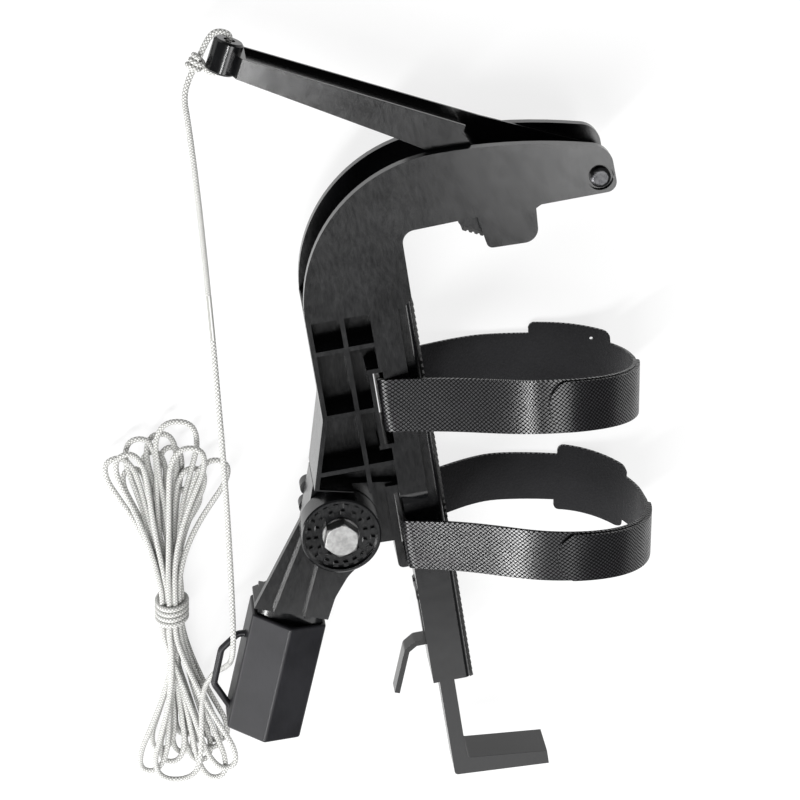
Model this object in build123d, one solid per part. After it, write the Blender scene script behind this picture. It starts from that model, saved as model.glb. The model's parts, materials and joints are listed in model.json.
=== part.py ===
from build123d import *
import math
import os

# Spray-can holder for an extension pole.
#
# A curved one-piece frame carries a spray can against its front rail with two hook-and-loop
# straps, and the can stands on an L-shaped rest that slides in the rail. A cord pulls the long
# lever down between the frame's two cheeks, so that the lever's foot presses the can's nozzle.
# The frame tilts on a hexagonal pole socket and is clamped there by a bolt and a star knob.
#
# The holder lies on its far side: +X is its front, where the can goes, +Y runs up along the can
# towards the nozzle, and +Z is up, off the surface that it lies on. Pieces are drawn from the
# tilt bolt's axis (x, y) and the frame's middle plane (z), and then moved to the part's frame.
# Millimetres and degrees.

# ---- where the bolt's axis and the middle plane lie in the part's frame
HINGE_X, HINGE_Y, HINGE_Z = -33.8, -38.8, 35.0

# ---- frame
CHEEK_OUT = 16.0            # middle plane to a cheek's outer face
CHEEK_WALL = 4.0
CHEEK_IN = CHEEK_OUT - CHEEK_WALL
REAR_X = 1.0                # rear edge of the column
ARC_R = 59.5                # the frame's shoulder, from the column round to the arm
ARC_Y = 91.0
ARM_TOP_END = (121.3, 142.4)
NOSE = (127.7, 134.0)
NOSE_X = 128.3
ARM_BOTTOM_Y = 122.8
THROAT_X = 43.2             # front of the column, under the arm
TAB = (73.5, 95.4, 108.4)   # finger tab under the arm: rear x, front x, bottom y
COLUMN_TOP_Y = 92.0
SLOT_FLOOR_Y = 96.0         # floor of the lever's slot
WEB = 4.0                   # middle web of the column
RIB = 1.8
POCKET_X = (2.9, 15.0, 26.0)            # rear wall, middle rib, rail block
POCKET_Y = (26.8, 50.7, 78.0)           # cross ribs
HEEL = (-7.2, 20.6)                     # lower rear corner of the column
FLANGE_END = (26.0, 12.4)               # front end of the sloping bottom flange
FLANGE = 2.6
BLOCK_FRONT_X = 37.2

# ---- front rail with the channel for the can rest
RAIL = (27.0, 42.5)         # rear and front faces, x
RAIL_HALF = 12.0            # half width, z
RAIL_BOTTOM_Y = -78.0
CHANNEL = (29.3, 36.3)      # x
CHANNEL_HALF = 9.4
CHANNEL_TOP_Y = 60.0

# ---- strap slots
STRAP_SLOT_X = (23.4, 27.4)
UPPER_SLOT_Y = (35.0, 66.0)
SLOT_BAR = 1.7
KEEPER = (21.0, 24.0)       # bar of the lower keeper, x
KEEPER_BOTTOM_Y = -23.8
KEEPER_HALF = 9.0

# ---- tilt joint
EAR_R = 16.2
EAR = (7.4, 19.0)           # z
LUG = (-15.7, 6.5)          # z
BOLT_R = 4.0
BOLT_FIT = 0.05
HEX_AF = 13.0               # bolt head and knob nut
HEAD_SEAT_Z = 17.0
WASHER = 0.8
BOLT_HEAD = 5.4
BOLT_END_Z = -31.5
STUD_RINGS = ((13.0, 20), (10.0, 14))   # radius and count
KNOB_TOP_Z = -17.6
KNOB_STAR = 6.0
KNOB_R = 15.0
KNOB_LOBES = 8
KNOB_BOSS_R = 7.8

# ---- pole socket, placed along its own axis: s down the axis from the bolt, t across it
SOCKET_LEAN = 21.4          # of its axis, from -Y towards -X
SOCKET_T = -11.0            # its axis, behind the bolt
SOCKET = (45.0, 99.0)       # s, from the rim down to the mouth
SOCKET_AF = 30.8
SOCKET_LIP = 1.7
SEAT = 1.8                  # depth that the neck drops into the rim
POLE_R = 9.6
POLE_DEPTH = 46.0
NECK = (-8.0, 11.0)         # z
NECK_FULL_S = 28.0          # from here down the neck has its full thickness
LOOP_R = 1.5

# ---- lever, drawn from its pin with its arm along -x
PIN = (122.0, 129.5)
PIN_R = 2.5
PIN_FIT = 0.06
LEVER_LEAN = -27.1
LEVER_TOP = 3.4
EYE_X = -149.6
EYE_R = 5.9
EYE_BORE_R = 2.3
ARM_END_X = -144.0
LEVER_HALF = (9.9, 11.4)    # half width at the arm's end and at the foot
LEVER_WALL = 1.3
NEAR_RIM_END = -55.5        # front end of the trough's near rim
HUB_HALF = 11.6
FOOT = (-46.5, -27.0, -35.0)            # rear, front and underside
PAD_HALF = 10.5
PAD = 2.0

# ---- can rest and its latch
REST_BAR = (29.7, 35.9)     # x
REST_HALF = 9.0
REST_TOP_Y = -20.0
REST_FOOT_Y = -125.4        # underside at the heel
REST_FOOT_END_X = 69.8
REST_FOOT_DROP = 4.0        # degrees that the foot slopes
LATCH_PIN = (27.6, -38.6)
LATCH_PIN_R = 0.8
LATCH_BOSS_R = 1.5
LATCH_HALF = 4.0
LATCH_T = 2.2

# ---- straps
STRAP = 21.5                # width
STRAP_T = 1.4
STRAP_MIDDLE_X = 87.0       # widest place of the hoops
# middle line of the band; its tilt in degrees, near side up; the far side's height above the
# surface; how far out the hoop's front is at two levels; the tail's end; the head's rear,
# front and lean; a small hole in the head
UPPER_STRAP = (
    ((24.0, 49.6), (88.0, 44.6), (136.0, 33.0)), 7.4, 2.2, ((0, -8.4), (80, 4.4)), 87.5,
    (90.0, 122.0, 4.0), (115.7, 49.4),
)
LOWER_STRAP = (
    ((24.0, -9.8), (82.0, -14.0), (136.0, -33.0)), 0.0, 0.1, ((-60, -9.8), (20, 2.2)), 82.5,
    (94.5, 122.0, 8.0),
)

# ---- cord
CORD_R = 1.15
KNOT_R = 2.9
FLOOR = -HINGE_Z

os.makedirs("parts", exist_ok=True)


def plate(sketch, low, high):
    """A sketch on the XY plane, extruded between two heights."""
    return extrude(Pos(0, 0, low) * sketch, amount=high - low, dir=(0, 0, 1))


def block(x, y, z):
    """A box between three pairs of limits."""
    size = [abs(b - a) for a, b in (x, y, z)]
    middle = [(a + b) / 2 for a, b in (x, y, z)]
    return Pos(*middle) * Box(*size)


def post(x, y, low, high, radius):
    """A cylinder along Z."""
    return Pos(x, y, (low + high) / 2) * Cylinder(radius, high - low)


def strip(start, end, width):
    """A straight rib's outline, centred on the line between two points."""
    line = Line(start, end)
    turn = math.degrees(math.atan2(end[1] - start[1], end[0] - start[0]))
    return Pos(*line @ 0.5) * Rot(0, 0, turn) * Rectangle(line.length, width)


def at_socket(s, t, z=0.0):
    """A place given along (s) and across (t) the socket's axis."""
    lean = math.radians(SOCKET_LEAN)
    x = -math.sin(lean) * s + math.cos(lean) * t
    y = -math.cos(lean) * s - math.sin(lean) * t
    return (x, y, z)


# ---------------------------------------------------------------- frame
def cheek_outline():
    """Side view of the frame above the column: shoulder, arm, nose, finger tab and throat."""
    tab_rear, tab_front, tab_bottom = TAB
    shoulder = CenterArc((REAR_X + ARC_R, ARC_Y), ARC_R, 180, -90)
    top = TangentArc(shoulder @ 1, ARM_TOP_END, tangent=(1, 0))
    nose = TangentArc(top @ 1, NOSE, tangent=top % 1)
    rest = Polyline(
        nose @ 1,
        (NOSE_X, ARM_BOTTOM_Y + 0.2),
        (tab_front + 0.6, ARM_BOTTOM_Y),
        (tab_front, tab_bottom),
        (tab_rear + 2.0, tab_bottom + 0.6),
        (tab_rear - 0.5, ARM_BOTTOM_Y - 0.4),
        (THROAT_X, ARM_BOTTOM_Y - 1.2),
        (THROAT_X, COLUMN_TOP_Y + 2.5),
        (THROAT_X - 2.2, COLUMN_TOP_Y),
        (THROAT_X - 4.0, ARC_Y),
        shoulder @ 0,
    )
    face = make_face([shoulder, top, nose, rest])

    def corner(x, y):
        return face.vertices().sort_by_distance((x, y, 0))[0]

    face = fillet(corner(NOSE_X, ARM_BOTTOM_Y), 4.0)
    face = fillet(corner(tab_front, tab_bottom), 5.5)
    face = fillet(corner(tab_rear + 2.0, tab_bottom + 0.6), 2.5)
    return fillet(corner(THROAT_X, ARM_BOTTOM_Y - 1.2), 5.0)


def column_outline(inset=0.0):
    """Side view of the ribbed column, from the heel up to the cheeks."""
    heel_x, heel_y = HEEL
    points = [
        (heel_x + inset, heel_y),
        (REAR_X + inset, 50.0),
        (REAR_X + inset, COLUMN_TOP_Y + 2.0),
        (POCKET_X[2] + 2.0, COLUMN_TOP_Y + 2.0),
        (POCKET_X[2] + 2.0, FLANGE_END[1]),
        FLANGE_END,
    ]
    face = make_face(Polyline(*points, close=True))
    kink = face.vertices().sort_by_distance((REAR_X + inset, 50.0, 0))[0]
    return fillet(kink, 14.0)


def lug_outline():
    """The eye of the frame that the tilt bolt passes through."""
    points = [(-7.4, 19.0), (-15.9, -6.5), (-12.0, -11.0), (22.0, -12.2), (24.0, 14.0)]
    face = make_face(Polyline(*points, close=True))
    low = face.vertices().filter_by(lambda v: v.X < -10)
    return fillet(low, 2.5)


def make_frame():
    cheek = cheek_outline()
    body = plate(cheek, CHEEK_IN, CHEEK_OUT) + plate(cheek, -CHEEK_OUT, -CHEEK_IN)
    body += block((REAR_X, THROAT_X - 2.2), (COLUMN_TOP_Y, SLOT_FLOOR_Y), (-CHEEK_IN, CHEEK_IN))
    # column: a middle web, the rear wall that follows its edge, and the ribs of the pockets
    outline = column_outline()
    body += plate(outline, -WEB / 2, WEB / 2)
    wall = outline - column_outline(POCKET_X[0] - REAR_X)
    body += plate(wall & Pos(-3, 55) * Rectangle(22, 80), -CHEEK_OUT, CHEEK_OUT)
    ribs = Pos(POCKET_X[1], 52) * Rectangle(RIB, 84)
    for y in POCKET_Y:
        ribs += Pos(POCKET_X[1] - 3, y) * Rectangle(34, RIB)
    ribs += Pos(13, COLUMN_TOP_Y + 0.9) * Rectangle(30, RIB + 1.0)
    heel_x, heel_y = HEEL
    ribs += make_face(
        Polyline(
            (heel_x, heel_y), FLANGE_END, (FLANGE_END[0], FLANGE_END[1] - FLANGE),
            (heel_x + 0.6, heel_y - FLANGE), close=True,
        )
    )
    slot_low, slot_high = UPPER_SLOT_Y
    bar_x = STRAP_SLOT_X[0] - SLOT_BAR / 2
    ribs += Pos(bar_x, (slot_low + slot_high) / 2) * Rectangle(SLOT_BAR, slot_high - slot_low + 2 * RIB)
    for y in (slot_low - RIB / 2, slot_high + RIB / 2):
        ribs += Pos(bar_x + 2, y) * Rectangle(SLOT_BAR + 5, RIB)
    body += plate(ribs & outline, -CHEEK_OUT, CHEEK_OUT)
    # rail block and front rail
    rear, front = RAIL
    side = block((POCKET_X[2], BLOCK_FRONT_X), (6.0, COLUMN_TOP_Y + 1.0), (-CHEEK_OUT, CHEEK_OUT))
    side = chamfer(side.edges().filter_by(Axis.X).group_by(Axis.Y)[0], 3.6, 6.0)
    rail = block(RAIL, (RAIL_BOTTOM_Y, COLUMN_TOP_Y + 2.5), (-RAIL_HALF, RAIL_HALF))
    rail = fillet(rail.edges().filter_by(Axis.Y).group_by(Axis.X)[-1], 2.0)
    body += side + rail
    # lug, and the keeper that the lower strap passes behind
    low, high = LUG
    body += plate(lug_outline(), low, high)
    keep_rear, keep_front = KEEPER
    keeper = block(
        (keep_rear, rear + 1.0), (KEEPER_BOTTOM_Y, FLANGE_END[1] + 1.0), (-KEEPER_HALF, KEEPER_HALF)
    )
    bend = keeper.edges().filter_by(Axis.Z).group_by(Axis.Y)[0].sort_by(Axis.X)[0]
    keeper = fillet(bend, 2.2)
    body += keeper
    body -= block((keep_front, rear), (KEEPER_BOTTOM_Y + 2.7, FLANGE_END[1] - FLANGE), (-20, 20))
    # strap slot, channel, latch window, bores
    body -= block(STRAP_SLOT_X, UPPER_SLOT_Y, (-20, 20))
    body -= block(CHANNEL, (RAIL_BOTTOM_Y - 1, CHANNEL_TOP_Y), (-CHANNEL_HALF, CHANNEL_HALF))
    body -= block((rear - 1, CHANNEL[0] + 0.1), (-64.6, -36.0), (-4.6, 4.6))
    body -= post(0, 0, high, 20, EAR_R + 0.5) & block((-20, 20.5), (-20, 20), (high, 20))
    body -= post(0, 0, -20, 10, BOLT_R + BOLT_FIT)
    body -= post(*PIN, -20, 20, PIN_R + PIN_FIT)
    body -= post(*PIN, CHEEK_OUT - 1.3, 20, 5.2)
    # ears that hold the latch's pin
    pin_x, pin_y = LATCH_PIN
    for side in (1, -1):
        ear = block((pin_x - LATCH_BOSS_R, rear + 1), (pin_y - 2.6, pin_y + 2.6), (side * 4.6, side * 7.0))
        body += chamfer(ear.edges().filter_by(Axis.Z).group_by(Axis.X)[0], 0.8)
    body -= post(pin_x, pin_y, -7.5, 7.5, LATCH_PIN_R)
    return body


# ---------------------------------------------------------------- pieces on the frame
def make_grip_strip():
    """The soft toothed strip down the rail's front, which the can is drawn against."""
    pitch = 2.75
    teeth = 62
    base, tip = RAIL[1], RAIL[1] + 1.5
    low = RAIL_BOTTOM_Y - 2.0
    points = [(base, low)]
    for tooth in range(teeth):
        y = low + tooth * pitch
        points += [(tip, y + 0.5), (tip, y + 1.3), (base + 0.7, y + 1.7), (base + 0.7, y + pitch)]
    points.append((base, low + teeth * pitch))
    return plate(make_face(Polyline(*points, close=True)), -8.5, 8.5)


def make_pivot_pin():
    shank = post(*PIN, -19.6, CHEEK_OUT - 0.4, PIN_R)
    head = post(*PIN, CHEEK_OUT - 1.3, CHEEK_OUT + 1.3, 4.0)
    head = chamfer(head.edges().group_by(Axis.Z)[-1], 0.7, 1.4)
    return shank + head


def make_pin_retainer():
    """Push-on cap nut on the pin's far end."""
    low, high = -CHEEK_OUT - 2.2, -CHEEK_OUT
    cap = post(*PIN, low, high, 5.0)
    cap = chamfer(cap.edges().group_by(Axis.Z)[0], 1.0)
    return cap - post(*PIN, low - 1, high + 1, PIN_R)


def strap_band(middle, half):
    """Side view of a strap's band, between curves as far above and below its middle line."""
    top = ThreePointArc(*[(x, y + half) for x, y in middle])
    bottom = ThreePointArc(*[(x, y - half) for x, y in middle])
    return make_face([top, bottom, Line(top @ 0, bottom @ 0), Line(top @ 1, bottom @ 1)])


def strap_loop(middle_x, lift, grow):
    """A strap's closed hoop seen along Y, grown or shrunk from the middle of its thickness."""
    near_r, far_r = 42.3, 30.0
    far_z = FLOOR + lift + STRAP_T / 2 + far_r
    edges = [
        CenterArc((middle_x, 0), near_r, 0, 180),
        CenterArc((middle_x + 12.0, far_z), far_r, -100, 90),
        CenterArc((middle_x - 14.0, far_z), far_r, -150, 60),
        Line((25.4, -17.0), (25.4, 17.0)),
    ]
    face = make_hull([edge for arc in edges for edge in arc.edges()])
    corners = face.vertices().group_by(Axis.X)[0]
    edge = offset(fillet(corners, 3.0), grow).wire()
    sides = 100
    return make_face(Polyline(*[edge @ (side / sides) for side in range(sides)], close=True))


def strap_block(levels, lift, grow):
    """A hoop's filled inside, leaning so that its front is further out at the upper level."""
    upright = Rot(90, 0, 0)
    sections = [
        Pos(0, y, 0) * upright * strap_loop(STRAP_MIDDLE_X + out, lift, grow) for y, out in levels
    ]
    return loft(sections, ruled=True)


def make_strap(middle, tilt, lift, levels, tail_x, head_x, hole=None):
    """A hook-and-loop strap closed into a hoop, with its T-shaped head and its doubled tail."""
    outer = strap_block(levels, lift, STRAP_T / 2)
    shell = outer - strap_block(levels, lift, -STRAP_T / 2)
    strap = shell & plate(strap_band(middle, STRAP / 2), -60, 60)
    # head: wider than the band, on the far side, its ends square to the sloping band
    head_rear, head_front, lean = head_x
    y = middle[1][1]
    head = make_face(
        Polyline(
            (head_rear - lean, y - 40), (head_rear + lean, y + 40), (head_front + lean, y + 40),
            (head_front - lean, y - 40), close=True,
        )
    )
    head = strap_band(middle, STRAP / 2 + 4.6) & head
    corners = head.vertices().sort_by(Axis.X)
    head = plate(fillet(corners[:2] + corners[-2:], 2.4), -60, -8)
    if hole:
        head -= plate(Pos(*hole) * Circle(0.7), -70, 0)
        strap -= plate(Pos(*hole) * Circle(0.7), -70, -8)
    strap += shell & head
    # tail: a second layer outside the near side, with a rounded end
    tail_half = STRAP / 2 - 0.4
    start_x = tail_x + 8.0
    tail = Pos(start_x, middle_height(middle, start_x)) * Ellipse(8.0, tail_half)
    tail += Pos(start_x + 50.0, y) * Rectangle(100, 80)
    second = strap_block(levels, lift, 1.5 * STRAP_T) - outer
    strap += second & plate(tail & strap_band(middle, tail_half), 2.0, 60.0)
    return Pos(0, y, 0) * Rot(-tilt, 0, 0) * Pos(0, -y, 0) * strap


def middle_height(middle, x):
    """Height at x of the curve through a strap's three middle points."""
    (x0, y0), (x1, y1), (x2, y2) = middle
    line = y0 * (x - x1) * (x - x2) / ((x0 - x1) * (x0 - x2))
    line += y1 * (x - x0) * (x - x2) / ((x1 - x0) * (x1 - x2))
    return line + y2 * (x - x0) * (x - x1) / ((x2 - x0) * (x2 - x1))


def lever_plan(inset=0.0):
    """The lever's plan, widening from the eye to the foot, as a block that cuts its side view."""
    narrow, wide = LEVER_HALF[0] - inset, LEVER_HALF[1] - inset
    side = [(EYE_X, 4.4), (ARM_END_X - 2.6, 4.8), (ARM_END_X, narrow), (FOOT[0], wide), (20.0, wide)]
    outline = side + [(x, -z) for x, z in reversed(side)]
    plan = Rot(90, 0, 0) * make_face(Polyline(*outline, close=True))
    return extrude(plan, amount=60, both=True)


def make_lever():
    rear, front, under = FOOT
    outline = [
        (EYE_X, LEVER_TOP), (FOOT[0], LEVER_TOP), (0, LEVER_TOP + 2.0), (7.6, 0), (2, -8), (-14, -14),
        (front, under + 3), (front, under), (rear, under), (rear, under + 3), (rear - 1.5, -17),
        (-62, -10.6), (-80.4, -9.0), (EYE_X, -4.3),
    ]
    face = make_face(Polyline(*outline, close=True))
    for x, y, radius in ((7.6, 0, 5.5), (-14, -14, 8.0), (rear - 1.5, -17, 5.0), (rear, under, 3.0)):
        face = fillet(face.vertices().sort_by_distance((x, y, 0))[0], radius)
    lever = plate(face, -LEVER_HALF[1], LEVER_HALF[1]) & lever_plan()
    lever += post(0, 0, -HUB_HALF, HUB_HALF, 5.6)
    # shallow trough along the top of the arm
    trough = [(-142.5, 20), (-142.5, 1.4), (NEAR_RIM_END, 0.4), (NEAR_RIM_END, 20)]
    trough = plate(make_face(Polyline(*trough, close=True)), -LEVER_HALF[1], LEVER_HALF[1])
    lever -= trough & lever_plan(LEVER_WALL)
    # towards the pin only the far rim goes on, and the near side falls away
    fall = [
        (NEAR_RIM_END, 20), (NEAR_RIM_END, 0.4), (NEAR_RIM_END + 12.0, -8.4), (-13.0, -9.5),
        (-6.5, 6.0), (-6.5, 20),
    ]
    fall = make_face(Polyline(*fall, close=True))
    lever -= plate(fall, LEVER_WALL - LEVER_HALF[1], LEVER_HALF[1] + 1.0)
    eye = Pos(EYE_X, 0.2, 0) * Rot(90, 0, 0) * Cylinder(EYE_R, 13.0)
    lever += chamfer(eye.edges().filter_by(GeomType.CIRCLE), 0.8)
    lever -= Pos(EYE_X, 0, 0) * Rot(90, 0, 0) * Cylinder(EYE_BORE_R, 20)
    lever -= post(0, 0, -20, 20, PIN_R + PIN_FIT)
    return lever


def make_nozzle_pad():
    """Soft pad with cross ribs under the lever's foot."""
    rear, front, under = FOOT
    rear += 3.5
    pad = block((rear, front), (under - PAD, under), (-PAD_HALF, PAD_HALF))
    grooves = 6
    pitch = (front - rear) / (grooves + 1)
    for groove in range(grooves):
        x = rear + (groove + 1) * pitch
        pad -= block((x - 0.5, x + 0.5), (under - PAD - 1, under - PAD + 0.6), (-20, 20))
    return pad


def at_lever(solid):
    """From the lever's own frame to the frame of the bolt."""
    return Pos(*PIN, 0) * Rot(0, 0, LEVER_LEAN) * solid


def make_can_rest():
    """Toothed bar that slides in the rail, with the foot that the can stands on."""
    rear, front = REST_BAR
    drop = math.tan(math.radians(REST_FOOT_DROP))
    end_x, low = REST_FOOT_END_X, REST_FOOT_Y
    outline = [
        (rear, REST_TOP_Y), (rear, low), (end_x, low - (end_x - rear) * drop),
        (end_x, low - (end_x - rear) * drop + 6.2), (front, low + 7.2), (front, REST_TOP_Y),
    ]
    face = make_face(Polyline(*outline, close=True))
    corners = face.vertices()
    face = fillet(corners.sort_by_distance((front, low + 7.2, 0))[0], 1.5)
    face = fillet(face.vertices().sort_by_distance((rear, low, 0))[0], 1.5)
    rest = plate(face, -REST_HALF, REST_HALF)
    teeth, pitch = 18, 4.0
    for tooth in range(teeth):
        y = -36.0 - tooth * pitch
        notch = make_face(Polyline((rear - 1, y + 1.6), (rear + 0.9, y), (rear - 1, y - 0.6), close=True))
        rest -= plate(notch, -5.0, 5.0)
    return rest


def make_latch():
    """Finger latch: an arm along the rail, a tooth towards the bar, and a tab to pull."""
    pin_x, pin_y = LATCH_PIN
    arm = [(pin_x, pin_y), (pin_x, -62.6), (22.6, -62.6), (18.6, -65.2), (11.6, -84.0)]
    spine = FilletPolyline(*arm, radius=1.3)
    tab = extrude(trace(spine, LATCH_T), amount=2 * LATCH_HALF, dir=(0, 0, 1))
    latch = Pos(0, 0, -LATCH_HALF) * tab
    latch += post(pin_x, pin_y, -LATCH_HALF, LATCH_HALF, LATCH_BOSS_R)
    tooth = [(28.0, -54.4), (29.35, -55.8), (29.35, -56.4), (28.0, -57.0)]
    latch += plate(make_face(Polyline(*tooth, close=True)), -LATCH_HALF, LATCH_HALF)
    return latch - post(pin_x, pin_y, -10, 10, LATCH_PIN_R + 0.05)


def make_latch_pin():
    return post(*LATCH_PIN, -7.0, 7.0, LATCH_PIN_R)


# ---------------------------------------------------------------- tilt joint and pole socket
def socket_plane(s):
    """Plane across the socket's axis: its x runs across (t), its y is +Z, its normal is down."""
    lean = math.radians(SOCKET_LEAN)
    return Plane(
        origin=at_socket(s, SOCKET_T),
        x_dir=(math.cos(lean), -math.sin(lean), 0),
        z_dir=(-math.sin(lean), -math.cos(lean), 0),
    )


def hexagon(across_flats):
    return Rot(0, 0, 30) * RegularPolygon(across_flats / 2 / math.cos(math.pi / 6), 6)


def make_yoke():
    """Ear with its rings of studs, and the ribbed neck down to the socket."""
    low, high = EAR
    neck = [(-1.0, -16.2), (41.5, -26.6), (41.5, 4.2), (31.0, 5.0), (20.5, 8.1), (13.0, 12.8), (0, 12)]
    face = make_face(Polyline(*[at_socket(s, t) for s, t in neck], close=True))
    for bend in ((31.0, 5.0), (20.5, 8.1)):
        face = fillet(face.vertices().sort_by_distance(at_socket(*bend))[0], 14.0)
    neck_low, neck_high = NECK
    yoke = plate(face, low, neck_high)
    full = [(NECK_FULL_S, 20), (NECK_FULL_S, -8), (41.0, -26.4), (60, -30), (60, 20)]
    lower = make_face(Polyline(*[at_socket(s, t) for s, t in full], close=True))
    yoke += plate(face & lower, neck_low, neck_high)
    for start, end in (((8.0, -13.2), (41.0, -17.7)), ((14.0, -4.2), (41.0, -4.9))):
        rib = strip(at_socket(*start)[:2], at_socket(*end)[:2], 2.6)
        yoke += plate(rib, low, neck_high + 3.4)
    neck_end = extrude(socket_plane(38.0) * hexagon(SOCKET_AF - 2 * SOCKET_LIP - 0.4), amount=7 + SEAT)
    yoke += neck_end & block((-80, 40), (-90, 0), (neck_low, neck_high - 0.6))
    disc = post(0, 0, low, high, EAR_R)
    disc = chamfer(disc.edges().group_by(Axis.Z)[-1], 0.6)
    yoke += disc
    yoke -= post(0, 0, high - 2.0, high + 1, EAR_R - 1.5)
    for radius, count in STUD_RINGS:
        for turn in range(count):
            stud = Pos(radius, 0, high - 1.5) * Box(1.7, 1.9 if radius > 12 else 1.6, 1.6)
            yoke += Rot(0, 0, 360 * turn / count) * stud
    yoke -= post(0, 0, low - 1, high + 1, BOLT_R + BOLT_FIT)
    return yoke


def make_socket():
    """Hexagonal sleeve that takes the pole, with the cord's guide loop on its rear flat."""
    rim, mouth = SOCKET
    length = mouth - rim
    sleeve = extrude(hexagon(SOCKET_AF), amount=length)
    sleeve = fillet(sleeve.edges().filter_by(Axis.Z), 1.8)
    sleeve = chamfer(sleeve.edges().group_by(Axis.Z)[0], 0.6)
    sleeve = chamfer(sleeve.edges().group_by(Axis.Z)[-1], 0.8)
    sleeve -= extrude(hexagon(SOCKET_AF - 2 * SOCKET_LIP), amount=SEAT)
    sleeve -= Pos(0, 0, length - POLE_DEPTH / 2) * Cylinder(POLE_R, POLE_DEPTH)
    sleeve -= Pos(0, 0, length - 0.6) * Cone(POLE_R, POLE_R + 1.2, 1.2)
    sleeve = socket_plane(rim) * sleeve
    loop = [(58.0, -24.0), (59.5, -29.3), (67.7, -34.6), (84.0, -34.5), (95.5, -24.0)]
    path = FilletPolyline(*[at_socket(s, t) for s, t in loop], radius=3.5)
    bar = sweep((path ^ 0) * RegularPolygon(LOOP_R, 8), path)
    bar -= socket_plane(rim) * extrude(hexagon(SOCKET_AF - 3), amount=length)
    sleeve += bar
    return sleeve


def make_bolt():
    top = HEAD_SEAT_Z + WASHER
    bolt = post(0, 0, BOLT_END_Z, top, BOLT_R)
    bolt = chamfer(bolt.edges().group_by(Axis.Z)[0], 0.6)
    head = Pos(0, 0, top) * Rot(0, 0, -17.2) * extrude(hexagon(HEX_AF), amount=BOLT_HEAD)
    cap = post(0, 0, top, top + BOLT_HEAD, HEX_AF / 2 / math.cos(math.pi / 6))
    cap = chamfer(cap.edges().group_by(Axis.Z)[-1], 0.8, 1.4)
    return bolt + (head & cap)


def make_washer(low, high, radius):
    return post(0, 0, low, high, radius) - post(0, 0, low - 1, high + 1, BOLT_R)


def make_knob():
    """Star knob with its boss; the bolt runs into it and its nut sits in it."""
    star = Circle(KNOB_R - 3.2)
    for lobe in range(KNOB_LOBES):
        star += Rot(0, 0, 9.8 + 360 * lobe / KNOB_LOBES) * Pos(KNOB_R - 3.6, 0) * Circle(3.6)
    knob = plate(star, KNOB_TOP_Z - KNOB_STAR, KNOB_TOP_Z)
    boss = post(0, 0, FLOOR, KNOB_TOP_Z - 1, KNOB_BOSS_R + 1.2)
    boss = chamfer(boss.edges().group_by(Axis.Z)[0], 2.0, 1.0)
    knob += boss
    knob -= post(0, 0, BOLT_END_Z - 1.0, KNOB_TOP_Z + 1, BOLT_R + 0.5)
    knob -= plate(hexagon(HEX_AF), KNOB_TOP_Z - 6.5, KNOB_TOP_Z + 1)
    return knob


def make_knob_nut():
    nut = plate(hexagon(HEX_AF), KNOB_TOP_Z - 6.5, KNOB_TOP_Z)
    return nut - post(0, 0, -40, 0, BOLT_R + BOLT_FIT)


# ---------------------------------------------------------------- cord
def cord_section():
    """The cord's section, with many flat sides and the area of the round one."""
    sides = 12
    area = sides / 2 * math.sin(2 * math.pi / sides)
    return RegularPolygon(CORD_R * math.sqrt(math.pi / area), sides)


def tube(points):
    """Round cord along straight runs joined by the widest tangent arcs that the runs allow."""
    points = [Vector(*p) for p in points]
    radii = []
    for before, here, after in zip(points, points[1:], points[2:]):
        come, go = here - before, after - here
        half = math.radians(come.get_angle(go)) / 2
        radii.append(0.45 * min(come.length, go.length) / math.tan(half))
    path = FilletPolyline(*points, radius=radii)
    solid = sweep((path ^ 0) * cord_section(), path)
    length = path.length
    print("cord", round(length, 1), "tightest", round(min(radii), 1), "volume ratio",
          round(solid.volume / (math.pi * CORD_R**2 * length), 4))
    return solid


UPPER_RUN = [
    (-21.6, 197.0, 0.2), (-29.0, 188.6, -0.3), (-29.2, 174.0, 0.2), (-30.7, 147.0, -0.5),
    (-33.2, 115.5, -0.4), (-35.8, 86.0, 0.2),
]
LOWER_RUN = [
    (-35.8, 86.0, 0.2), (-39.3, 48.6, 0.96), (-44.0, 6.0, 0.3), (-48.2, -26.0, 2.8), (-51.0, -45.0, 4.6),
    (-53.4, -56.0, 1.0), (-57.0, -64.0, -9.0), (-64.0, -71.0, -18.0), (-73.0, -80.0, -26.0),
]


def make_eye_knot():
    """The knot beside the lever's eye, with the small loop that it ties through the eye."""
    x = EYE_X - EYE_R - CORD_R - 0.3
    loop = [(x, -1.0), (x, 8.4), (EYE_X, 8.4), (EYE_X, -8.2), (x, -8.2), (x, -4.0)]
    path = FilletPolyline(*[(a, b, 0) for a, b in loop], radius=3.0)
    ring = sweep((path ^ 0) * cord_section(), path)
    knot = Pos(x - 1.6, -2.5, 0) * Rot(90, 0, 0) * Cylinder(KNOT_R, 5.6)
    knot = chamfer(knot.edges().filter_by(GeomType.CIRCLE), 1.5)
    return ring + knot


def oval(half_width, half_height):
    """A many-sided oval, its first corner on the x axis."""
    sides = 12
    turns = [2 * math.pi * side / sides for side in range(sides)]
    points = [(half_width * math.cos(turn), half_height * math.sin(turn)) for turn in turns]
    return make_face(Polyline(*points, close=True))


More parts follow.
